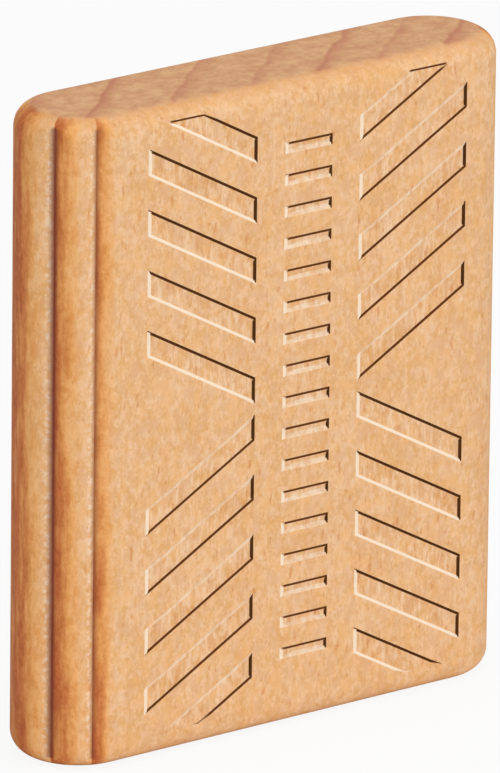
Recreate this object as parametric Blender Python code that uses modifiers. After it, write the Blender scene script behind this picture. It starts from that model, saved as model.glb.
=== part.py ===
"""A loose tenon: one piece of beech that glues two timbers edge to edge.

It stands on its lower end, with the grain and its length along Z, its width along X and its front
face towards -Y. The origin is the middle of the lower end. A half turn about Z maps the piece onto
itself. The cutters stay in a collection of their own as live Boolean modifiers.
"""

import math

import bmesh
import bpy
from mathutils import Vector

MM = 0.001

# The blank
WIDTH = 17.0 * MM
THICKNESS = 4.0 * MM
LENGTH = 20.0 * MM
END_ROUNDING = 0.7 * MM
ARC_STEPS = 32
ROUNDING_STEPS = 6

# The glue grooves along each rounded edge, by their angle from the face that they begin at
GROOVE_ANGLES = (23.0, 63.0)
GROOVE_DEPTH = 0.22 * MM
GROOVE_HALF_ANGLE = 16.0
FLANK_BULGE = 22.0
FLANK_STEPS = 5

# The pressed bars, two columns of them, leaning one way above the middle and the other way below it
BARS_PER_QUARTER = 5
BAR_INNER_EDGE = 1.93 * MM
BAR_OUTER_EDGE = 5.95 * MM
BAR_HEIGHT = 0.8 * MM
BAR_PITCH = 1.85 * MM
FIRST_BAR_HEIGHT = 0.575 * MM
BAR_RISE = 2.19 * MM
FIELD_HALF_LENGTH = 9.47 * MM

# The short plain rungs between the two columns
RUNG_COUNT = 17
RUNG_PITCH = 0.98 * MM
RUNG_WIDTH = 1.75 * MM
RUNG_HEIGHT = 0.34 * MM

# What the press leaves: how deep it goes, how its walls lean, and how far off centre it struck
PRESS_DEPTH = 0.06 * MM
WALL_RUN = 0.09 * MM
FLOOR_SHIFT_X = 0.045 * MM
FLOOR_SHIFT_Z = -0.015 * MM
PATTERN_SHIFT_X = 0.4 * MM
PATTERN_SHIFT_Z = 0.165 * MM

# How far a cutter stands clear of the face that it enters
CLEAR = 0.1 * MM

NOSE_RADIUS = THICKNESS / 2
NOSE_X = WIDTH / 2 - NOSE_RADIUS
MID_HEIGHT = LENGTH / 2


def clear_scene():
    for obj in list(bpy.data.objects):
        bpy.data.objects.remove(obj, do_unlink=True)


def new_collection(name, hidden=False):
    collection = bpy.data.collections.new(name)
    bpy.context.scene.collection.children.link(collection)
    collection.hide_render = hidden
    return collection


def principled(name, colour, roughness):
    material = bpy.data.materials.new(name)
    material.use_nodes = True
    shader = material.node_tree.nodes["Principled BSDF"]
    shader.inputs["Base Color"].default_value = (*colour, 1.0)
    shader.inputs["Roughness"].default_value = roughness
    shader.inputs["Metallic"].default_value = 0.0
    return material


def arc(centre, radius, start, end, steps):
    """Points along an arc in the XY plane, with the angles in degrees from +X."""
    angles = (math.radians(start + (end - start) * i / steps) for i in range(steps + 1))
    return [centre + radius * Vector((math.cos(a), math.sin(a))) for a in angles]


def prism(name, outline, length):
    """A mesh of this XY outline drawn out along Z, centred on the XY plane."""
    curve = bpy.data.curves.new(name, "CURVE")
    curve.dimensions = "2D"
    curve.fill_mode = "BOTH"
    curve.extrude = length / 2
    spline = curve.splines.new("POLY")
    spline.points.add(len(outline) - 1)
    for point, place in zip(spline.points, outline):
        point.co = (place.x, place.y, 0.0, 1.0)
    spline.use_cyclic_u = True

    drawn = bpy.data.objects.new(name, curve)
    bpy.context.scene.collection.objects.link(drawn)
    evaluated = drawn.evaluated_get(bpy.context.evaluated_depsgraph_get())
    mesh = bpy.data.meshes.new_from_object(evaluated)
    bpy.data.objects.remove(drawn)
    bpy.data.curves.remove(curve)

    shape = bmesh.new()
    shape.from_mesh(mesh)
    bmesh.ops.remove_doubles(shape, verts=shape.verts, dist=1e-7)
    bmesh.ops.dissolve_limit(
        shape, angle_limit=math.radians(0.5), verts=shape.verts, edges=shape.edges
    )
    bmesh.ops.recalc_face_normals(shape, faces=shape.faces)
    shape.to_mesh(mesh)
    shape.free()
    mesh.name = name
    return mesh


def smooth(mesh):
    mesh.shade_smooth()
    mesh.set_sharp_from_angle(angle=math.radians(30))


def blank(collection, material):
    """The bar as it is sawn off: half-round long edges and eased ends."""
    right = arc(Vector((NOSE_X, 0)), NOSE_RADIUS, -90, 90, ARC_STEPS)
    left = arc(Vector((-NOSE_X, 0)), NOSE_RADIUS, 90, 270, ARC_STEPS)
    mesh = prism("tenon", right + left, LENGTH)
    smooth(mesh)
    mesh.materials.append(material)
    tenon = bpy.data.objects.new("tenon", mesh)
    tenon.location.z = MID_HEIGHT
    collection.objects.link(tenon)

    ease = tenon.modifiers.new("eased ends", "BEVEL")
    ease.limit_method = "ANGLE"
    ease.angle_limit = math.radians(60)
    ease.width = END_ROUNDING
    ease.segments = ROUNDING_STEPS
    return tenon


def groove_outline():
    """A cusp whose flanks bulge into the groove, pointing to -Y from the nose's centre."""
    half = math.radians(GROOVE_HALF_ANGLE)
    cusp = Vector((0, -(NOSE_RADIUS - GROOVE_DEPTH)))
    lip = NOSE_RADIUS * Vector((math.sin(half), -math.cos(half)))
    chord = lip - cusp
    bulge = math.radians(FLANK_BULGE)
    radius = chord.length / (2 * math.sin(bulge))
    along = math.degrees(math.atan2(chord.y, chord.x))
    start = along - FLANK_BULGE - 90
    centre = cusp - radius * Vector((math.cos(math.radians(start)), math.sin(math.radians(start))))
    flank = arc(centre, radius, start, start + 2 * FLANK_BULGE, FLANK_STEPS)
    brim = Vector((lip.x, -NOSE_RADIUS - GROOVE_DEPTH))
    right = flank + [brim]
    return right + [Vector((-p.x, p.y)) for p in reversed(right[1:])]


def cutter(name, mesh, collection):
    obj = bpy.data.objects.new(name, mesh)
    obj.hide_render = True
    obj.display_type = "WIRE"
    collection.objects.link(obj)
    return obj


def groove_cutters(collection):
    """Both edges carry the same pair, each beginning at the face that is in front of it."""
    mesh = prism("groove", groove_outline(), LENGTH + 2 * CLEAR)
    smooth(mesh)
    cutters = []
    for edge, side, turn in (("left", -1, 0), ("right", 1, 180)):
        for number, angle in enumerate(GROOVE_ANGLES, 1):
            groove = cutter(f"{edge}_groove_{number}", mesh, collection)
            groove.location = (side * NOSE_X, 0, MID_HEIGHT)
            groove.rotation_euler.z = math.radians(turn - angle)
            cutters.append(groove)
    return cutters


def press_stud(shape, left, right, middle, height):
    """One stud of the press, whose walls lean in from its outline on the face to its floor.

    It spans left to right and is this high about the line z = middle(x). It also stands clear of the
    face, where it is larger by the same lean.
    """
    def loop(depth):
        lean = depth / PRESS_DEPTH
        x0 = left + lean * (FLOOR_SHIFT_X + WALL_RUN)
        x1 = right + lean * (FLOOR_SHIFT_X - WALL_RUN)
        half_height = height / 2 - lean * WALL_RUN
        for x, up in ((x0, -1), (x1, -1), (x1, 1), (x0, 1)):
            z = middle(x) + up * half_height + lean * FLOOR_SHIFT_Z
            yield shape.verts.new((x, depth, z))

    outer = list(loop(-CLEAR))
    floor = list(loop(PRESS_DEPTH))
    shape.faces.new(outer)
    shape.faces.new(list(reversed(floor)))
    for i in range(4):
        j = (i + 1) % 4
        shape.faces.new((outer[j], outer[i], floor[i], floor[j]))


def bar(shape, side, half, number):
    """The slanting bar that is this many from the middle, in one column and one half."""
    slope = BAR_RISE / (BAR_OUTER_EDGE - BAR_INNER_EDGE)

    def middle(x):
        return half * (FIRST_BAR_HEIGHT + number * BAR_PITCH + slope * (side * x - BAR_INNER_EDGE))

    left, right = sorted((side * BAR_INNER_EDGE, side * BAR_OUTER_EDGE))
    press_stud(shape, left, right, middle, BAR_HEIGHT)


def rung(shape, number):
    height = (number - (RUNG_COUNT - 1) / 2) * RUNG_PITCH
    press_stud(shape, -RUNG_WIDTH / 2, RUNG_WIDTH / 2, lambda x: height, RUNG_HEIGHT)


def press_cutters(collection):
    """The same press strikes both faces."""
    shape = bmesh.new()
    for side in (-1, 1):
        for half in (-1, 1):
            for number in range(BARS_PER_QUARTER):
                bar(shape, side, half, number)
    for number in range(RUNG_COUNT):
        rung(shape, number)
    bmesh.ops.recalc_face_normals(shape, faces=shape.faces)
    mesh = bpy.data.meshes.new("press")
    shape.to_mesh(mesh)
    shape.free()

    field = bmesh.new()
    bmesh.ops.create_cube(field, size=1.0)
    sides = (WIDTH, 2 * THICKNESS, 2 * FIELD_HALF_LENGTH)
    bmesh.ops.scale(field, vec=sides, verts=field.verts)
    field_mesh = bpy.data.meshes.new("press_field")
    field.to_mesh(field_mesh)
    field.free()

    cutters = []
    for face, turn in (("front", 0), ("back", 180)):
        pivot = bpy.data.objects.new(f"{face}_press_pivot", None)
        pivot.location.z = MID_HEIGHT
        pivot.rotation_euler.z = math.radians(turn)
        collection.objects.link(pivot)
        press = cutter(f"{face}_press", mesh, collection)
        limit = cutter(f"{face}_press_field", field_mesh, collection)
        for obj in (press, limit):
            obj.parent = pivot
            obj.location = (PATTERN_SHIFT_X, -THICKNESS / 2, PATTERN_SHIFT_Z)
        clip = press.modifiers.new("within the field", "BOOLEAN")
        clip.operation = "INTERSECT"
        clip.object = limit
        cutters.append(press)
    return cutters


def main():
    clear_scene()
    parts = new_collection("loose_tenon")
    tools = new_collection("cutters", hidden=True)
    beech = principled("beech", (0.72, 0.45, 0.25), 0.62)
    tenon = blank(parts, beech)
    for tool in groove_cutters(tools) + press_cutters(tools):
        cut = tenon.modifiers.new(tool.name, "BOOLEAN")
        cut.operation = "DIFFERENCE"
        cut.object = tool


main()
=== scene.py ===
# %% [markdown]
# # A loose tenon in beech
# A loose tenon is a flat tongue of wood that glues two timbers edge to edge. Each half of it goes
# into a mortise. Its long edges are half-round, as the cutter leaves the mortise, its ends are eased
# so that it finds the hole, and both faces are pressed with slanting pockets that hold the glue.
#
# The solid model already has the right sizes. This script gives the same form a finer skin, a wood
# that looks like beech, soft light and the camera.

# %% Load the solid model and read its size
import math

import bmesh
import bpy
import numpy as np
from mathutils import Matrix, Vector


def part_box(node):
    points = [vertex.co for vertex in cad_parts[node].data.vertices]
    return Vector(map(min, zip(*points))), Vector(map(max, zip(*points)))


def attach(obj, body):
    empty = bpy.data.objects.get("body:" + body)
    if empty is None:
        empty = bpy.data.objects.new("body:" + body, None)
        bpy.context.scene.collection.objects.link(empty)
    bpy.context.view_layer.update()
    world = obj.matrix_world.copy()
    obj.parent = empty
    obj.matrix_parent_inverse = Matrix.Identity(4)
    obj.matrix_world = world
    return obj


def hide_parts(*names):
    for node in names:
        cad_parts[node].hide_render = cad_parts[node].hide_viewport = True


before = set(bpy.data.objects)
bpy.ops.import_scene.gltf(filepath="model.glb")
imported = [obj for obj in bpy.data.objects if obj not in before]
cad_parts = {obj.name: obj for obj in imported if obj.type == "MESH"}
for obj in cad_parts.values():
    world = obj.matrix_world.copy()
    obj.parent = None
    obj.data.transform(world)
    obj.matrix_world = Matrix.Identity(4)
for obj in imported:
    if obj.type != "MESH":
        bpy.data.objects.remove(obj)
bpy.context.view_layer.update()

MM = 0.001
low, high = (np.array(corner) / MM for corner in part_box("tenon"))
WIDTH, THICKNESS, LENGTH = high - low
print("tenon", np.round([WIDTH, THICKNESS, LENGTH], 2), "mm")

# %% [markdown]
# ## The section: a stick carried round a line
# Cut across, the tenon is a slot shape: two flats and two half circles. One way to make it is to
# list its outline. A shorter way is to carry a stick of constant length along the middle line. On a
# flat it points straight out, and at each end of the line it swings through a half circle. The form
# is then one number at each place, the length of the stick: easing an end or cutting a groove only
# makes the stick shorter there.
#
# A half turn about the long axis maps the tenon onto itself, so half of the section is enough: the
# front face and the right-hand edge. All lengths are in millimetres until the mesh is made.

# %% Half a section
NOSE = THICKNESS / 2
HALF_LINE = WIDTH / 2 - NOSE


def stick(place, angle):
    """Foot and direction of the stick, for a place along the flat and a swing in degrees.

    The foot is (place, 0). The direction starts at -Y and swings towards +X: (sin a, -cos a).
    """
    a = np.radians(angle)
    foot = np.stack([place, np.zeros_like(place)], axis=1)
    return foot, np.stack([np.sin(a), -np.cos(a)], axis=1)


print("a stick of", round(NOSE, 2), "mm on a line of", round(2 * HALF_LINE, 2), "mm")

# %% [markdown]
# ## The glue grooves
# Each rounded edge has two fine grooves. Their flanks are round, so what stands between them is a
# bead. A flank is an arc from the cusp at the bottom of the groove to its lip on the round. For each
# swing of the stick, the arc is met at one length, which follows from the circle's equation.

# %% How far the grooves cut into the round
# The swing of each groove in degrees: it starts at the front face and is 180 at the back face
GROOVES = (117.0, 157.0)
GROOVE_DEPTH = 0.22
GROOVE_HALF_ANGLE = 16.0
FLANK_BULGE = math.radians(22.0)


def groove_cut(angle):
    """Depth of the nearest groove below the round, for a swing in degrees.

    The flank arc has centre c and radius r, and the stick meets it where |l d - c| = r, so
    l = d.c + sqrt((d.c)^2 - c.c + r^2), with everything turned so that the cusp is straight ahead.
    """
    off = np.min([np.abs(angle - groove) for groove in GROOVES], axis=0)
    half = math.radians(GROOVE_HALF_ANGLE)
    cusp = np.array([0.0, NOSE - GROOVE_DEPTH])
    lip = NOSE * np.array([math.sin(half), math.cos(half)])
    chord = lip - cusp
    radius = np.linalg.norm(chord) / (2 * math.sin(FLANK_BULGE))
    inward = np.array([chord[1], -chord[0]]) / np.linalg.norm(chord)
    centre = (cusp + lip) / 2 + inward * radius * math.cos(FLANK_BULGE)
    a = np.radians(np.minimum(off, GROOVE_HALF_ANGLE))
    along = np.sin(a) * centre[0] + np.cos(a) * centre[1]
    length = along + np.sqrt(along**2 - centre @ centre + radius**2)
    return np.where(off < GROOVE_HALF_ANGLE, NOSE - length, 0.0)


cusp_and_lip = GROOVES[0] + np.array([0.0, GROOVE_HALF_ANGLE])
print("cut at the cusp and the lip", np.round(groove_cut(cusp_and_lip), 3), "mm")

# %% [markdown]
# ## Browning round the edge, partly painted shade
# The rounded edge is browned near its widest place, and each groove along the flank that looks away
# from the face. The browning is partly the edge's own colour and partly painted shade where the
# surface turns away from the light. The flank across from the browned one is torn and pale close to
# the cusp. These are no shapes, only colours, so they are marks that the mesh carries for the
# material to read.

# %% Browning round the nose
# A start, an end or a pair of heights says where a climb is 0 and where it is 1, in degrees of swing
# or in millimetres. The fades, in degrees past a cusp, and their shares have one value per groove.
BAND_START, BAND_END = (38.0, 62.0), (114.0, 78.0)
FLANK_FADES, FLANK_SHARES, FADE_POWER = (27.0, 17.0), (1.0, 0.78), 0.6
BELOW_HEIGHTS, BELOW_START, BELOW_END = (0.0, -8.0), (20.0, 50.0), (178.0, 160.0)
BROWNING_BELOW = 0.22


def climb(value, low, high):
    """(value - low) / (high - low), held between 0 and 1. It falls where low is the greater."""
    return np.clip((value - low) / (high - low), 0, 1)


def edge_browning(angle):
    """Share of browning, partly painted shade: a broad band, and past each cusp a fade that follows a
    power of its climb.
    """
    shares = [climb(angle, *BAND_START) * climb(angle, *BAND_END)]
    for groove, fade, share in zip(GROOVES, FLANK_FADES, FLANK_SHARES):
        past = angle >= groove
        shares.append(share * climb(angle, groove + fade, groove) ** FADE_POWER * past)
    return np.max(shares, axis=0)


def browning_below(angle, height):
    """Share of browning that grows below the middle, the product of a climb down and two round."""
    below = BROWNING_BELOW * climb(height, *BELOW_HEIGHTS)
    return below * climb(angle, *BELOW_START) * climb(angle, *BELOW_END)


print("browning where the band starts and is full", edge_browning(np.array(BAND_START)))

# %% Painted shade in the cusps, and torn flanks
# The torn wood's pairs are degrees before a cusp, again where a climb is 0 and where it is 1
# How strong the painted shade is in the crease of each cusp
CUSP_SHADES = (1.0, 0.82)
TORN_START, TORN_END = (8.5, 5.5), (1.0, 3.0)


def cusp_shade(angle):
    """How strong the painted shade in a cusp is: more in the groove beside the browned band than in
    the other.
    """
    return np.where(angle < np.mean(GROOVES), *CUSP_SHADES)


def torn_flank(angle):
    """Share of torn wood, a narrow band just before each cusp: the product of two climbs."""
    before = [groove - angle for groove in GROOVES]
    return np.max([climb(b, *TORN_START) * climb(b, *TORN_END) for b in before], axis=0)


print("torn share near a cusp", torn_flank(GROOVES[0] - np.array([0.0, 2.0, 4.0])))

# %% [markdown]
# ## The pressed pockets
# A press leaves slanting bars in two columns, leaning one way above the middle and the other way
# below it, so that the glue can spread. Between the columns is a plain row of short rungs. A pocket
# is a floor with four leaning walls. Each wall is a ramp from 0 at its rim to 1 at its foot, and the
# lowest of the four ramps is the depth.

# %% The ramp of a wall
# How deep the press goes, how wide a wall is seen from the front, how far the floor is shifted
# against the outline, and half the width over which an edge is rounded
PRESS_DEPTH = 0.06
WALL_RUN = 0.09
FLOOR_SHIFT = np.array([0.045, -0.015])
SOFT = 0.012


def ramp(inside, run):
    """Straight ramp over a wall's run, its two edges rounded by averaging it over twice SOFT.

    With Q(x) the area under the sharp ramp up to x, this is (Q(x + SOFT) - Q(x - SOFT)) / (2 SOFT).
    """

    def area(x):
        within = np.clip(x, 0, run)
        return within**2 / (2 * run) + np.maximum(x - run, 0)

    return (area(inside + SOFT) - area(inside - SOFT)) / (2 * SOFT)


print("ramp at its rim and foot", np.round(ramp(np.array([0.0, WALL_RUN]), WALL_RUN), 2))

# %% [markdown]
# ## Painted light and shade on the walls
# The walls carry painted shade on one side and a painted highlight on the other, as if a light came
# from the right and a little above, in the plane of the face. So each wall gets a mark as well as a
# depth: the share of its slope that faces that light, -1 for the darkest painted shade to 1 for the
# palest painted highlight. The mark covers only the rim of some walls, and runs on a little over the
# floor below others.

# %% One pocket: its depth and its marks
# A band says how far a mark reaches in from the rim, as a share of the wall's run. Where a wall's
# mark is strong, each wall has its own. Where it is weak, dark walls have one and pale walls another.
# The direction of the painted light in the plane of the face, turned up from the right
PAINTED_LIGHT_SLANT = math.radians(15.0)
STRONG = 0.5
LEFT_BAND, RIGHT_BAND, LOWER_BAND = 1.1, 1.35, 1.15
RIM_BAND, PALE_BAND = 0.7, 1.5
MARK_SLACK = 0.6 * SOFT


def pocket(across, up, left, right, height, lean):
    """Depth and mark of one pocket, which reaches from left to right in the measure of across.

    Up is measured from the pocket's own middle line, which leans. The mark is n.s, with n the wall's
    downhill direction in the plane of the face and s the direction of the painted light, so that below
    0 it is painted shade and above 0 a painted highlight. It covers its band, a share of the wall's
    run. Walls come in the order left, right, lower, upper.
    """
    shift_x, shift_z = FLOOR_SHIFT
    runs = (WALL_RUN + shift_x, WALL_RUN - shift_x, WALL_RUN + shift_z, WALL_RUN - shift_z)
    inside = (across - left, right - across, up + height / 2, height / 2 - up)
    inside = np.stack(np.broadcast_arrays(*inside))
    depth = np.min([ramp(i, run) for i, run in zip(inside, runs)], axis=0)

    level = (math.sin(PAINTED_LIGHT_SLANT) - lean * math.cos(PAINTED_LIGHT_SLANT)) / math.hypot(1, lean)
    facing = np.array([math.cos(PAINTED_LIGHT_SLANT), -math.cos(PAINTED_LIGHT_SLANT), level, -level])
    strong_bands = (LEFT_BAND, RIGHT_BAND, LOWER_BAND, RIM_BAND)
    weak_bands = np.where(facing < 0, RIM_BAND, PALE_BAND)
    band = np.where(np.abs(facing) > STRONG, strong_bands, weak_bands) * runs
    nearest = np.argmin([i / run for i, run in zip(inside, runs)], axis=0)
    gone = np.take_along_axis(inside, nearest[None], axis=0)[0]
    marked = (gone > -MARK_SLACK) & (gone < band[nearest] + MARK_SLACK)
    return depth, np.where(marked, facing[nearest], 0.0)


# %% Where the bars and rungs are
# Measured from the pattern's middle, which is shifted on the face. The first bar's height is at its
# inner end, and past its outer end a bar's line still rises for a little.
PATTERN_SHIFT = np.array([0.4, 0.165])
BARS, BAR_PITCH, FIRST_BAR, BAR_HEIGHT = 5, 1.85, 0.575, 0.8
BAR_INNER, BAR_OUTER, BAR_RISE = 1.93, 5.95, 2.19
BAR_SLOPE = BAR_RISE / (BAR_OUTER - BAR_INNER)
PAST_BAR = 0.1
RUNGS, RUNG_PITCH, RUNG_WIDTH, RUNG_HEIGHT = 17, 0.98, 1.75, 0.34

bar_middles = [half * (FIRST_BAR + n * BAR_PITCH) for half in (-1, 1) for n in range(BARS)]
rung_middles = [(n - (RUNGS - 1) / 2) * RUNG_PITCH for n in range(RUNGS)]


def shear(across):
    """How far the bars have risen, the slope times the distance past their inner ends."""
    return BAR_SLOPE * (np.clip(np.abs(across), BAR_INNER, BAR_OUTER + PAST_BAR) - BAR_INNER)


print("bars at", np.round(bar_middles, 3), "mm, rungs from", round(rung_middles[0], 2), "mm")

# %% Both columns of bars and the rungs, within the pressed field
FIELD_HALF_LENGTH = 9.47
FIELD_RUN = 0.03


def press(across, up):
    """Depth of the press below the flat, and the walls' marks of painted shade and highlight, measured
    from the pattern's middle.

    The depth is the greatest of all pockets and no more than the field's own ramp, and the mark is
    the sum of all.
    """
    pockets = []
    for side in (-1, 1):
        left, right = sorted((side * BAR_INNER, side * BAR_OUTER))
        for middle in bar_middles:
            half = math.copysign(1, middle)
            from_line = up - (middle + half * shear(across))
            lean = half * side * BAR_SLOPE
            pockets.append(pocket(across, from_line, left, right, BAR_HEIGHT, lean))
    for middle in rung_middles:
        ends = (-RUNG_WIDTH / 2, RUNG_WIDTH / 2)
        pockets.append(pocket(across, up - middle, *ends, RUNG_HEIGHT, 0))
    depth = np.max([p[0] for p in pockets], axis=0)
    marks = np.sum([p[1] for p in pockets], axis=0)

    to_field_edge = FIELD_HALF_LENGTH - np.abs(up)
    field = ramp(to_field_edge, FIELD_RUN)
    marks = marks * (to_field_edge > FIELD_RUN + 2 * SOFT)
    return PRESS_DEPTH * np.minimum(depth, field), marks


print("deepest press", round(float(press(np.zeros(1), np.zeros(1))[0][0]), 3), "mm")

# %% [markdown]
# ## The ends
# Going up the side, the skin runs straight, turns over a quarter round and then runs in over the end
# grain. The distance along that path is the girth. The easing is the amount that the stick has lost.

# %% From girth to height and easing
# The cap's reach is how far the skin runs in over the end before one flat face closes it
EASE = 0.7
STRAIGHT = LENGTH / 2 - EASE
TURN = EASE * math.pi / 2
CAP_REACH = 0.35
MOST_GIRTH = STRAIGHT + TURN + CAP_REACH


def over_the_end(girth):
    """Height above the middle and length lost by the stick: a line, a quarter circle and a line."""
    g = np.abs(girth)
    turn = np.clip((g - STRAIGHT) / EASE, 0.0, math.pi / 2)
    height = np.minimum(g, STRAIGHT) + EASE * np.sin(turn)
    lost = EASE * (1 - np.cos(turn)) + np.maximum(g - STRAIGHT - TURN, 0.0)
    return np.sign(girth) * height, lost


print("height and easing at the last ring", np.round(over_the_end(MOST_GIRTH), 2), "mm")

# %% [markdown]
# ## A grid that leans with the bars
# An even grid fine enough for walls a tenth of a millimetre wide would need millions of faces. But
# the bars are straight: along a bar nothing changes. So the rows of the grid lean with the bars, and
# both rows and columns crowd together only where a wall is. Above the middle they lean one way and
# below it the other, with a fan of rows between.

# %% Crowd lines at the walls and fill in between
# What the ways in from an edge mean: 1 goes right or up, -1 goes left or down
def crowd(edges, runs, shares):
    """Places across each wall: just outside its rim, on it, then at each share of its run and past it.

    An edge is the place of a rim and the way in from it. Runs and shares are given for each way.
    """
    steps = {}
    for way, run in runs.items():
        bands = [s for share in shares[way] for s in (share * run, share * run + SOFT)]
        steps[way] = [-SOFT, 0.0, *bands]
    return [edge + way * s for edge, way in edges for s in steps[way]]


def filled(places, gap):
    """The places in order, with more between any two that lie further apart than the gap."""
    places = np.unique(np.round(places, 4))
    between = [
        np.linspace(a, b, int(np.ceil((b - a) / gap)) + 1)[:-1] for a, b in zip(places, places[1:])
    ]
    return np.concatenate(between + [places[-1:]])


print("filled from 0 to 1, in steps of 0.3 at most:", np.round(filled([0.0, 1.0], 0.3), 2))

# %% Columns, over the flat and round the nose
COLUMN_GAP, NOSE_GAP = 0.5, 5.0
MID_WALL = 0.5
FLANK_COLUMNS, FLANK_CROWDING = 8, 1.3


def flat_columns():
    """Columns of the flat, by their place across: crowded at the ends of the bars and rungs."""
    runs = {1: WALL_RUN + FLOOR_SHIFT[0], -1: WALL_RUN - FLOOR_SHIFT[0]}
    ends = [(-BAR_OUTER, 1), (-BAR_INNER, -1), (BAR_INNER, 1), (BAR_OUTER, -1)]
    ends += [(-RUNG_WIDTH / 2, 1), (RUNG_WIDTH / 2, -1)]
    walls = crowd(ends, runs, {1: (MID_WALL, LEFT_BAND), -1: (1.0, RIGHT_BAND)})
    walls = np.array(walls) + PATTERN_SHIFT[0]
    return filled(np.concatenate([walls, [-HALF_LINE, HALF_LINE]]), COLUMN_GAP)


def nose_columns():
    """Columns of the nose, by their swing: crowded at each cusp by a power of an even spacing."""
    flank = GROOVE_HALF_ANGLE * np.linspace(0, 1, FLANK_COLUMNS) ** FLANK_CROWDING
    near = [groove + way * f for groove in GROOVES for way in (-1, 1) for f in flank]
    return filled(np.concatenate([near, [0.0, 180.0]]), NOSE_GAP)


flat_x = flat_columns()
nose_a = nose_columns()
print(len(flat_x), "flat columns,", len(nose_a), "nose columns")

# %% Rows, leaning with the bars and level at the ends
ROW_GAP, END_GAP = 0.25, 0.2
TURN_ROWS = 16
INNER = FIELD_HALF_LENGTH - FIELD_RUN - SOFT


def leaning_rows():
    """Rows that lean with the bars, by their height where they cross the strip between the columns."""
    runs = {1: WALL_RUN + FLOOR_SHIFT[1], -1: WALL_RUN - FLOOR_SHIFT[1]}
    bars = [(middle - way * BAR_HEIGHT / 2, way) for middle in bar_middles for way in (1, -1)]
    rungs = [(middle - way * RUNG_HEIGHT / 2, way) for middle in rung_middles for way in (1, -1)]
    walls = crowd(bars, runs, {1: (RIM_BAND, LOWER_BAND), -1: (RIM_BAND, 1.0, PALE_BAND)})
    walls += crowd(rungs, runs, {1: (RIM_BAND, LOWER_BAND), -1: (RIM_BAND, 1.0)})
    return filled([w for w in walls if abs(w) < FIELD_HALF_LENGTH] + [-INNER, INNER], ROW_GAP)


def end_rows(way):
    """Level rows past the field, as girths going outwards: its last wall, the turn and the end."""
    field = way * PATTERN_SHIFT[1] + FIELD_HALF_LENGTH + np.array([-FIELD_RUN / 2, 0, SOFT])
    turns = np.linspace(STRAIGHT, STRAIGHT + TURN, TURN_ROWS)
    girths = filled(np.concatenate([field, turns[turns > field[-1]], [MOST_GIRTH]]), END_GAP)
    return way * girths


lean_s = leaning_rows()
lower_rows, upper_rows = end_rows(-1)[::-1], end_rows(1)
print(len(lean_s), "leaning rows,", len(lower_rows), "and", len(upper_rows), "level rows")

# %% The skin of half the tenon, as arrays
# The fan is where rows that lean down give way to rows that lean up, this far from the middle
FAN = 0.12
CUSP_SHADE_EASE = 0.1


def half_skin():
    """Points and marks of the front face and right-hand edge, as arrays of rows by columns.

    A point is the stick's foot plus its length times its direction, at its row's height. The length
    is the nose less the easing or the cut, whichever is more. The painted shade in a cusp starts to
    fade where the easing reaches CUSP_SHADE_EASE.
    """
    place = np.concatenate([flat_x, np.full(len(nose_a) - 2, HALF_LINE)])
    angle = np.concatenate([np.zeros(len(flat_x)), nose_a[1:-1]])
    foot, direction = stick(place, angle)
    across = place - PATTERN_SHIFT[0]
    rise = np.where(angle > 0, BAR_RISE, np.minimum(shear(across), BAR_RISE))
    fan = np.clip(lean_s / FAN, -1.0, 1.0)
    leaning = np.clip(lean_s[:, None] + fan[:, None] * rise, -INNER, INNER) + PATTERN_SHIFT[1]
    level = [np.repeat(r[:, None], len(place), axis=1) for r in (lower_rows, upper_rows)]
    girth = np.concatenate([level[0], leaning, level[1]])

    height, lost = over_the_end(girth)
    on_flat = angle == 0
    pressed, wall = press(across, height - PATTERN_SHIFT[1])
    pressed = pressed * on_flat
    grooved = groove_cut(angle) * ~on_flat
    length = NOSE - np.maximum(lost, pressed + grooved)
    points = np.concatenate([foot + length[..., None] * direction, height[..., None]], axis=2)
    marks = {
        "wall": wall * on_flat * (lost < PRESS_DEPTH),
        "pressed": pressed / PRESS_DEPTH,
        "grooved": grooved / GROOVE_DEPTH * cusp_shade(angle) * climb(lost, GROOVE_DEPTH, CUSP_SHADE_EASE),
        "edge_browning": np.minimum(edge_browning(angle) + browning_below(angle, height), 1) * ~on_flat,
        "torn": torn_flank(angle) * ~on_flat * climb(lost, GROOVE_DEPTH, 0),
        "turned": np.clip((np.abs(girth) - STRAIGHT) / TURN, 0, 1),
    }
    return points, marks


skin, skin_marks = half_skin()
print("half skin", skin.shape[:2], "rows by columns")

# %% [markdown]
# ## From arrays to one closed mesh
# The other half is the same array turned half round. The columns close into a ring, and the last
# ring at each end is filled with one flat face. Where leaning rows run into the level ones at the
# ends, their points coincide, and merging them leaves triangles there.

# %% Make the mesh
def tenon_mesh():
    """Both halves as one grid whose columns close, with (-x, -y, z) for the second half."""
    points = np.concatenate([skin, skin * (-1, -1, 1)], axis=1)
    points[..., 2] += LENGTH / 2
    rows, columns = points.shape[:2]
    index = np.arange(rows * columns).reshape(rows, columns)
    beside = np.roll(index, -1, axis=1)
    quads = np.stack([index[:-1], beside[:-1], beside[1:], index[1:]], axis=-1).reshape(-1, 4)
    mesh = bpy.data.meshes.new("beech_tenon")
    mesh.from_pydata((points.reshape(-1, 3) * MM).tolist(), [], quads.tolist())
    for name, values in skin_marks.items():
        attribute = mesh.attributes.new(name, "FLOAT", "POINT")
        attribute.data.foreach_set("value", np.concatenate([values, values], axis=1).ravel())

    shape = bmesh.new()
    shape.from_mesh(mesh)
    bmesh.ops.remove_doubles(shape, verts=shape.verts, dist=1e-8)
    open_edges = [edge for edge in shape.edges if edge.is_boundary]
    bmesh.ops.holes_fill(shape, edges=open_edges, sides=0)
    bmesh.ops.recalc_face_normals(shape, faces=shape.faces)
    triangles = len(shape.calc_loop_triangles())
    loose = sum(not edge.is_manifold for edge in shape.edges)
    print(triangles, "triangles,", loose, "open edges,", round(shape.calc_volume() * 1e9, 1), "mm3")
    shape.to_mesh(mesh)
    shape.free()
    mesh.shade_smooth()
    return mesh


tenon = bpy.data.objects.new("beech_tenon", tenon_mesh())
bpy.context.collection.objects.link(tenon)
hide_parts("tenon")
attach(tenon, "root")

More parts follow.
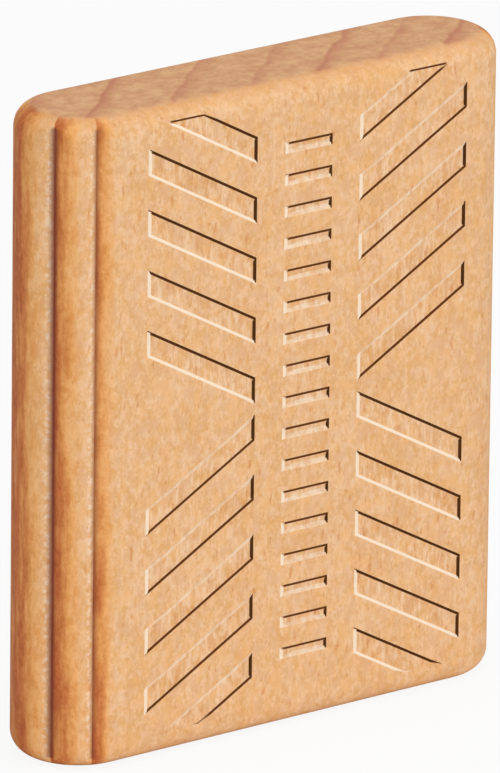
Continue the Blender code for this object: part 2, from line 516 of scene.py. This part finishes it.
# %% [markdown]
# ## Beech
# The tenon is cut from plain beech. Along the grain beech is a warm peach colour with short darker
# flecks, where the rays are cut through. Across the grain, on the ends, it is greyer and pinker, and
# shows the growth rings. A photograph of wood could be wrapped round the mesh, but it would smear on
# the rounded edges. A solid texture has a value at every place in space, so the grain runs through
# the wood as it does in a real piece. It reads Object coordinates, here turned into millimetres.

# %% Helpers that add and join nodes
beech = bpy.data.materials.new("beech")
beech.use_nodes = True
tree = beech.node_tree
wood = tree.nodes["Principled BSDF"]


def node(kind, inputs, **settings):
    """Add a shader node. An input that is itself a socket is joined, and a plain value is set."""
    made = tree.nodes.new("ShaderNode" + kind)
    for name, value in settings.items():
        setattr(made, name, value)
    for socket, value in inputs.items():
        if isinstance(value, bpy.types.NodeSocket):
            tree.links.new(value, made.inputs[socket])
        else:
            made.inputs[socket].default_value = value
    return made


def number(operation, *values):
    """The result of one plain operation, such as a sum or a product, on sockets or numbers."""
    return node("Math", dict(enumerate(values)), operation=operation).outputs[0]


def step(value, low, high, most=1.0):
    """A smooth climb from 0 at low to most at high, level past both. It falls where low is greater."""
    limits = {"Value": value, "From Min": low, "From Max": high, "To Max": most}
    return node("MapRange", limits, interpolation_type="SMOOTHSTEP").outputs[0]


def blend(share, below, above):
    """One colour laid over another in this share."""
    return node("Mix", {0: share, 6: below, 7: above}, data_type="RGBA").outputs[2]


def colour(red, green, blue):
    """A colour as a screen names it, 0 to 255, turned into the amounts of light that Blender mixes."""
    parts = [c / 255 for c in (red, green, blue)]
    return (*[p / 12.92 if p < 0.04 else ((p + 0.055) / 1.055) ** 2.4 for p in parts], 1.0)


print("peach as light", np.round(colour(236, 190, 142)[:3], 3))

# %% Helpers for places, marks and noise
object_place = node("TexCoord", {}).outputs["Object"]
SPECK_CORE = 0.3


def cells(x, y, z):
    """Places for a texture whose cells number x, y and z to the millimetre."""
    scale = (x / MM, y / MM, z / MM)
    return node("Mapping", {"Vector": object_place, "Scale": scale}).outputs[0]


def mark(name):
    """What the mesh has marked at each place under this name."""
    return node("Attribute", {}, attribute_name=name).outputs["Fac"]


def cloud(where, detail=2.0, roughness=0.5):
    """Soft noise about 0.5."""
    inputs = {"Vector": where, "Scale": 1.0, "Detail": detail, "Roughness": roughness}
    return node("TexNoise", inputs).outputs["Fac"]


def specks(where, size, share):
    """Ragged spots, one to a cell, full in their core. Only this share of the cells shows one."""
    push = node("TexNoise", {"Vector": where, "Scale": 1.8, "Detail": 2.0}).outputs["Color"]
    ragged = node("VectorMath", {0: where, 1: push}, operation="ADD").outputs[0]
    spots = node("TexVoronoi", {"Vector": ragged, "Scale": 1.0})
    chance = node("SeparateColor", {"Color": spots.outputs["Color"]}).outputs[0]
    shown = number("LESS_THAN", chance, share)
    spot = step(spots.outputs["Distance"], size, size * SPECK_CORE)
    return number("MULTIPLY", spot, shown)


print(len(tree.nodes), "nodes before any colour")

# %% [markdown]
# ## Along the grain
# On the faces the colour drifts between light and dark by three clouds, each finer than the last, and
# between warm and cool by a fourth. Fine fibres run up the tenon, so their cells are long in Z. Rays
# that are cut through show as small ragged flecks, some dark and some pale.

# %% Noise along the grain
drift = cloud(cells(1.2, 1.2, 0.9), detail=2.0)
mottle = cloud(cells(4.0, 4.0, 3.0), detail=4.0, roughness=0.75)
hue = cloud(cells(2.4, 2.4, 1.8), detail=2.0)
fibres = cloud(cells(9.0, 9.0, 0.9), detail=2.0, roughness=0.6)
dark_flecks = specks(cells(6.5, 6.5, 2.8), size=0.34, share=0.16)
rays = specks(cells(5.0, 5.0, 1.7), size=0.38, share=0.10)
pale_flecks = specks(cells(6.0, 6.0, 3.0), size=0.36, share=0.10)
grit = cloud(cells(13.0, 13.0, 7.0), detail=2.0, roughness=0.7)
print(len(tree.nodes), "nodes with the noise along the grain")

# %% Colour along the grain
LIGHT = colour(243, 201, 158)
DARK = colour(227, 169, 105)
WARM = colour(240, 184, 124)
COOL = colour(231, 182, 138)
FLECK = colour(212, 136, 72)
RAY = colour(214, 134, 70)
PALE_FLECK = colour(252, 222, 186)

# How much each cloud counts, and what brings their sum back to 0.5 where all three are 0.5
DRIFT, MOTTLE, GRIT, LEVEL = 1.3, 4.2, 1.8, -3.15
FLECKS = ((pale_flecks, 0.35, PALE_FLECK), (dark_flecks, 0.5, FLECK), (rays, 0.65, RAY))

fine = number("ADD", number("MULTIPLY", mottle, MOTTLE), number("MULTIPLY", grit, GRIT))
lightness = number("MULTIPLY_ADD", drift, DRIFT, number("ADD", fine, LEVEL))
side = blend(lightness, DARK, LIGHT)
side = blend(step(hue, 0.45, 0.72, most=0.7), side, WARM)
side = blend(step(hue, 0.55, 0.28, most=0.7), side, COOL)
side = blend(step(fibres, 0.50, 0.75, most=0.25), side, DARK)
for flecks, share, tint in FLECKS:
    side = blend(number("MULTIPLY", flecks, share), side, tint)
print(len(tree.nodes), "nodes with the colour along the grain")

# %% [markdown]
# ## Growth rings and end grain
# Each year's growth ends in a thin reddish line. The lines are sheets through the whole piece, and
# they cross this one at a slant, so the distance along one slanting direction tells which year a
# place is in. A colour ramp over that distance darkens slowly towards each line and drops after it.

# %% The years as a ramp
RING_LEAN = math.radians(41.0)
RING_REACH = 7.0
RING_SWAY = 0.5
# Where each line is along the slant in millimetres, and how strong it is
RINGS = ((-5.05, 1.0), (-3.4, 0.5), (-1.83, 0.9), (-0.21, 0.55), (1.75, 0.75), (3.82, 1.0), (5.7, 0.7))
# How the colour climbs to a line and drops after it, by the distance from the line
RING_PROFILE = ((-0.5, 0.0), (-0.14, 0.55), (0.0, 1.0), (0.10, 0.0))

sway = number("SUBTRACT", cloud(cells(0.9, 0.9, 0.05), detail=3.0), 0.5)
across_rings = (-math.sin(RING_LEAN) / MM, math.cos(RING_LEAN) / MM, 0.0)
slant = node("VectorMath", {0: object_place, 1: across_rings}, operation="DOT_PRODUCT")
swayed = number("ADD", slant.outputs["Value"], number("MULTIPLY", sway, RING_SWAY))
share_of_reach = number("MULTIPLY_ADD", swayed, 0.5 / RING_REACH, 0.5)
years = node("ValToRGB", {"Fac": share_of_reach})
stops = years.color_ramp.elements
stops.remove(stops[-1])
for at, strength in RINGS:
    for offset, part in RING_PROFILE:
        stop = stops.new(0.5 + (at + offset) / (2 * RING_REACH))
        stop.color = (part * strength,) * 3 + (1,)
ring_lines = years.outputs["Color"]
print(len(stops), "stops for", len(RINGS), "years")

# %% Colour across the grain
END_TAN = colour(232, 182, 131)
END_ROSE = colour(213, 153, 110)
END_LINE = colour(198, 120, 92)
END_PORE = colour(190, 134, 100)

end_mottle = cloud(cells(1.8, 1.8, 0.4), detail=3.0, roughness=0.65)
end_pores = specks(cells(9.0, 9.0, 0.8), size=0.42, share=0.35)
end = blend(step(end_mottle, 0.30, 0.70), END_TAN, END_ROSE)
end = blend(number("MULTIPLY", end_pores, 0.45), end, END_PORE)
end = blend(number("MULTIPLY", ring_lines, 0.85), end, END_LINE)
print(len(tree.nodes), "nodes with the end grain")

# %% [markdown]
# ## Where the two meet, and the marks on the edges and pockets
# The eased ends pass from side grain to end grain. The rounded edges are browned to a deeper red
# brown, partly their own colour and partly painted shade, and the cusps of the grooves are darkened
# with painted shade. The cutter and the press leave their own marks: one flank of each groove is torn
# into pale splinters, and the floors of the pockets are crushed.

# %% Shares of each mark, made uneven by noise
# Where the end grain takes over, with an uneven edge, and a warm band before it
turned = number("ADD", mark("turned"), number("MULTIPLY", number("SUBTRACT", mottle, 0.5), 0.4))
over_end = step(turned, 0.68, 0.92)
unbrowned = number("MULTIPLY_ADD", mark("edge_browning"), -0.8, 1.0)
warm_band = number("MULTIPLY", step(turned, 0.25, 0.75, most=0.4), unbrowned)
# Browning, partly painted shade, in streaks that run up the edge
streaks = step(cloud(cells(3.2, 3.2, 0.5), detail=3.0), 0.3, 0.7)
browned = number("MULTIPLY", mark("edge_browning"), number("MULTIPLY_ADD", streaks, 0.4, 0.65))
# Pale: a ragged painted highlight on the pocket walls, and torn wood splintered beside the cusps
ragged = step(cloud(cells(4.0, 4.0, 4.0), detail=2.0), 0.4, 0.6)
splinters = step(cloud(cells(7.0, 7.0, 7.0), detail=2.0), 0.50, 0.62)
torn = number("MULTIPLY", mark("torn"), number("MULTIPLY_ADD", splinters, 0.46, 0.04))
# Crushed floors, where some fibres stand up pale and others lie down dark
crush = cloud(cells(6.5, 6.5, 1.9), detail=3.0, roughness=0.65)
raised = number("MULTIPLY", mark("pressed"), step(crush, 0.50, 0.66, most=0.6))
sunk = number("MULTIPLY", mark("pressed"), step(crush, 0.46, 0.33, most=0.4))
print(len(tree.nodes), "nodes with the marks")

# %% The colours laid over each other
ORANGE = colour(228, 160, 98)
CRUSHED = colour(250, 214, 178)
# Browns for the rounded edges, partly their own colour and partly painted shade
AMBER_DARK, AMBER_LIGHT = colour(235, 158, 79), colour(247, 181, 106)
BROWNING_DARK, BROWNING_LIGHT = colour(186, 94, 42), colour(208, 116, 56)
CUSP_BROWN = colour(116, 45, 36)
# Pale for torn wood beside the cusps, and for the painted highlight on the pocket walls
TORN_AND_HIGHLIGHT = colour(254, 232, 206)

surface = blend(number("MULTIPLY", ring_lines, 0.16), side, ORANGE)
surface = blend(raised, surface, CRUSHED)
surface = blend(sunk, surface, FLECK)
# The browning of the rounded edges, partly painted shade
surface = blend(step(browned, 0.0, 0.6), surface, blend(lightness, AMBER_DARK, AMBER_LIGHT))
surface = blend(step(browned, 0.34, 0.93), surface, blend(lightness, BROWNING_DARK, BROWNING_LIGHT))
surface = blend(warm_band, surface, ORANGE)
surface = blend(over_end, surface, end)
surface = blend(torn, surface, TORN_AND_HIGHLIGHT)
# Painted shade in the crease at the bottom of each groove
surface = blend(step(mark("grooved"), 0.42, 1.0, most=0.85), surface, CUSP_BROWN)
print(len(tree.nodes), "nodes with the colours")

# %% [markdown]
# ## The pocket walls
# The walls get painted shade on one side and a painted highlight on the other, as the mesh has
# marked them. Where a pocket runs out at the upper edge of the pressed field, a thin line of painted
# shade closes it. It is found by its height, in millimetres below that edge.

# %% Painted shade and highlight on the walls, and the shaded line that closes a pocket
# Browns for the painted shade on the walls and on the line that closes a pocket
WALL_SHADE_BROWN = colour(98, 54, 22)
WALL_SHADE_DARK = colour(80, 46, 19)
FIELD_TOP = LENGTH / 2 + PATTERN_SHIFT[1] + FIELD_HALF_LENGTH
LINE_START, LINE_END = (0.125, 0.105), (0.045, 0.065)

height = node("SeparateXYZ", {"Vector": object_place}).outputs["Z"]
above_start = step(height, *[(FIELD_TOP - below) * MM for below in LINE_START])
below_end = step(height, *[(FIELD_TOP - below) * MM for below in LINE_END])
at_end = number("MULTIPLY", above_start, below_end)
ran_out = number("MULTIPLY", at_end, step(mark("pressed"), 0.3, 0.6))
wall_shade = number("MULTIPLY", mark("wall"), -1.0)
painted_shade = number("MAXIMUM", wall_shade, number("MULTIPLY", ran_out, 0.25))
wall_highlight = number("MULTIPLY", mark("wall"), number("MULTIPLY_ADD", ragged, 0.35, 0.72))
# A painted highlight on the walls that face the light, and painted shade on those that face away
surface = blend(step(wall_highlight, 0.05, 0.42), surface, TORN_AND_HIGHLIGHT)
surface = blend(step(painted_shade, 0.02, 0.2), surface, WALL_SHADE_BROWN)
surface = blend(step(painted_shade, 0.3, 0.6), surface, WALL_SHADE_DARK)
tree.links.new(surface, wood.inputs["Base Color"])
print("the line ends", round(FIELD_TOP - LINE_END[0], 2), "mm up")

# %% [markdown]
# ## How it shines
# Planed beech is dull, and a little rougher on the fibres than between them. The relief is only a
# bump of some thousandths of a millimetre: the fibres stand up and the flecks and pores sink in.

# %% Roughness and fine relief
RELIEF = 0.008 * MM

rough = number("MULTIPLY_ADD", fibres, 0.25, 0.55)
tree.links.new(rough, wood.inputs["Roughness"])
# Less shine where the walls carry painted shade
shine = number("SUBTRACT", 0.35, step(painted_shade, 0.02, 0.2, most=0.3))
tree.links.new(shine, wood.inputs["Specular IOR Level"])
crushed = number("MULTIPLY", number("MULTIPLY", crush, mark("pressed")), 2.0)
fleck_relief = number("SUBTRACT", fibres, number("MULTIPLY", dark_flecks, 0.5))
relief_along = number("ADD", fleck_relief, crushed)
relief_across = number("SUBTRACT", end_mottle, number("MULTIPLY", end_pores, 0.8))
relief = node("Mix", {0: over_end, 2: relief_along, 3: relief_across}, data_type="FLOAT")
bump = node("Bump", {"Height": relief.outputs[0], "Distance": RELIEF, "Strength": 1.0})
tree.links.new(bump.outputs[0], wood.inputs["Normal"])
tenon.data.materials.append(beech)
print(len(tree.nodes), "nodes in the beech")

# %% [markdown]
# ## The view
# A real lens far away keeps the upright edges nearly parallel. The camera stands round to the left,
# where it sees the left-hand edge as well as the front face, and looks a little down. Its three
# directions are worked out from two angles and a slight roll.

# %% Camera
AZIMUTH = math.radians(38.236)
ELEVATION = math.radians(17.765)
ROLL = math.radians(0.635)
DISTANCE = 416.2
FOCAL = 653.3
SENSOR = 36
AIM_SHIFT = (0.106, -0.057)


def camera():
    """A camera at the tenon's middle, less the distance times the viewing direction.

    It is then moved a little to its own left and up, so that the tenon sits well in the frame.
    """
    level = math.cos(ELEVATION)
    view = Vector((math.sin(AZIMUTH) * level, math.cos(AZIMUTH) * level, -math.sin(ELEVATION)))
    right = view.cross(Vector((0, 0, 1))).normalized()
    up = right.cross(view)
    turned_right = right * math.cos(ROLL) + up * math.sin(ROLL)
    turned_up = up * math.cos(ROLL) - right * math.sin(ROLL)
    middle = Vector((0, 0, LENGTH / 2))
    place = middle - AIM_SHIFT[0] * turned_right - AIM_SHIFT[1] * turned_up - DISTANCE * view
    data = bpy.data.cameras.new("camera")
    data.lens = FOCAL
    data.sensor_width = SENSOR
    data.clip_start = 0.01
    data.clip_end = 10
    obj = bpy.data.objects.new("camera", data)
    turn = Matrix((turned_right, turned_up, -view)).transposed().to_4x4()
    obj.matrix_world = Matrix.Translation(place * MM) @ turn
    bpy.context.collection.objects.link(obj)
    bpy.context.scene.camera = obj


camera()
print("camera", round(DISTANCE), "mm away, with a lens of", round(FOCAL), "mm")

# %% [markdown]
# ## Light
# Soft light comes from three large lamps: one close beside the camera, one well to its right and one
# above. The world fills the rest. The floor is pale, catches the shadow and looks nearly white to
# the camera alone, so that it doesn't light the wood from below more than a sheet of paper would.

# %% Floor
FLOOR_SIZE = 2.0
FLOOR_WHITE = 0.9


def floor():
    """A pale plane that is mixed with plain white, in the share FLOOR_WHITE, for camera rays only."""
    bpy.ops.mesh.primitive_plane_add(size=FLOOR_SIZE)
    plane = bpy.context.object
    plane.name = "floor"
    material = bpy.data.materials.new("pale floor")
    material.use_nodes = True
    nodes, links = material.node_tree.nodes, material.node_tree.links
    shader = nodes["Principled BSDF"]
    shader.inputs["Base Color"].default_value = (0.8, 0.8, 0.8, 1)
    shader.inputs["Roughness"].default_value = 0.9
    path = nodes.new("ShaderNodeLightPath")
    white = nodes.new("ShaderNodeEmission")
    mix = nodes.new("ShaderNodeMixShader")
    share = nodes.new("ShaderNodeMath")
    share.operation = "MULTIPLY"
    share.inputs[1].default_value = FLOOR_WHITE
    links.new(path.outputs["Is Camera Ray"], share.inputs[0])
    links.new(share.outputs[0], mix.inputs[0])
    links.new(shader.outputs[0], mix.inputs[1])
    links.new(white.outputs[0], mix.inputs[2])
    links.new(mix.outputs[0], nodes["Material Output"].inputs[0])
    plane.data.materials.append(material)


floor()
print("a floor", FLOOR_SIZE, "m wide")

# %% Lamps and world
# Lengths on the stage are in metres, and each lamp faces the middle of the tenon
LAMP_DISTANCE = 0.5
LAMP_SIZE = 0.25
MID_HEIGHT = 0.01
WORLD_LIGHT = 0.48


def lamp(name, turn, rise, power):
    """A round lamp, by its degrees round from the front towards the left, and its degrees up.

    With a the turn and e the rise, the direction towards it is (-sin a cos e, -cos a cos e, sin e).
    """
    a, e = math.radians(turn), math.radians(rise)
    data = bpy.data.lights.new(name, "AREA")
    data.shape = "DISK"
    data.size = LAMP_SIZE
    data.energy = power
    obj = bpy.data.objects.new(name, data)
    toward = Vector((-math.sin(a) * math.cos(e), -math.cos(a) * math.cos(e), math.sin(e)))
    obj.location = toward.normalized() * LAMP_DISTANCE + Vector((0, 0, MID_HEIGHT))
    obj.rotation_euler = toward.normalized().to_track_quat("Z", "Y").to_euler()
    bpy.context.collection.objects.link(obj)


lamp("key", turn=30, rise=10, power=0.72)
lamp("fill", turn=-45, rise=10, power=0.43)
lamp("top", turn=0, rise=85, power=0.83)
world = bpy.data.worlds.new("studio")
bpy.context.scene.world = world
world.use_nodes = True
background = world.node_tree.nodes["Background"]
background.inputs["Color"].default_value = (1, 1, 1, 1)
background.inputs["Strength"].default_value = WORLD_LIGHT
bpy.context.scene.view_settings.view_transform = "Standard"
print("three lamps", LAMP_DISTANCE, "m away, and a world of", WORLD_LIGHT)
